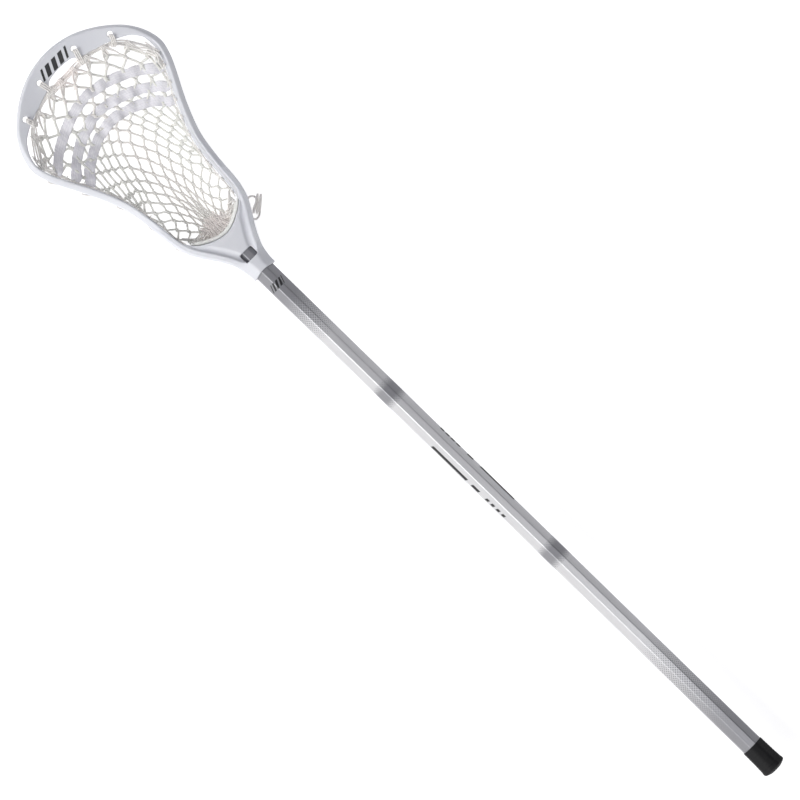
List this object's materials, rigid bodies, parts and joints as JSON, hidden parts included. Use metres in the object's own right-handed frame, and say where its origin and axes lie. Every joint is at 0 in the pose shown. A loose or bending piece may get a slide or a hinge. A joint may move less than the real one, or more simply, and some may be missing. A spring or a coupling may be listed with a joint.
{
  "type": "lacrosse stick",
  "caption": "Men's short lacrosse stick: moulded head with a laced mesh pocket and flat shooting strings on an eight-sided alloy shaft with a pull-off rubber butt cap.",
  "frame": {"origin": "midway along the stick, under the shaft's axis, level with the lowest point of the head's lower rails", "axes": "+X along the shaft towards the scoop, +Z out of the open face of the head, +Y to the left when looking from the butt to the scoop with the face up"},
  "size_m": [1.016, 0.1836, 0.067],
  "materials": {
    "head_plastic": "white moulded nylon with a soft satin gloss",
    "shaft_alloy": "clear-coated white to silver print with halftone fades and small black marks",
    "cap_rubber": "matt black rubber",
    "screw_steel": "zinc plated",
    "pad_foam": "closed-cell foam, grey beige",
    "mesh_cord": "braided nylon cord, off-white",
    "lacing": "braided nylon string, cream",
    "shooting_lace": "flat woven lace, cool white"
  },
  "bodies": {
    "stick": {"head": "head_plastic", "shaft": "shaft_alloy", "ball_stop_pad": "pad_foam", "pocket_mesh": "mesh_cord", "top_string": "lacing", "sidewall_string_left": "lacing", "sidewall_string_right": "lacing", "bottom_string": "lacing", "shooting_string_1": "shooting_lace", "shooting_string_2": "shooting_lace", "shooting_string_3": "shooting_lace", "string_tail": "lacing"},
    "butt_cap": {"butt_cap": "cap_rubber"},
    "head_screw": {"head_screw": "screw_steel"}
  },
  "joints": [
    {"name": "butt_cap_pull", "type": "slide", "parent": "stick", "child": "butt_cap", "axis": [-1, 0, 0], "range_m": [0, 0.04]},
    {"name": "head_screw_out", "type": "slide", "parent": "stick", "child": "head_screw", "axis": [0, 0, -1], "range_m": [0, 0.013]}
  ]
}
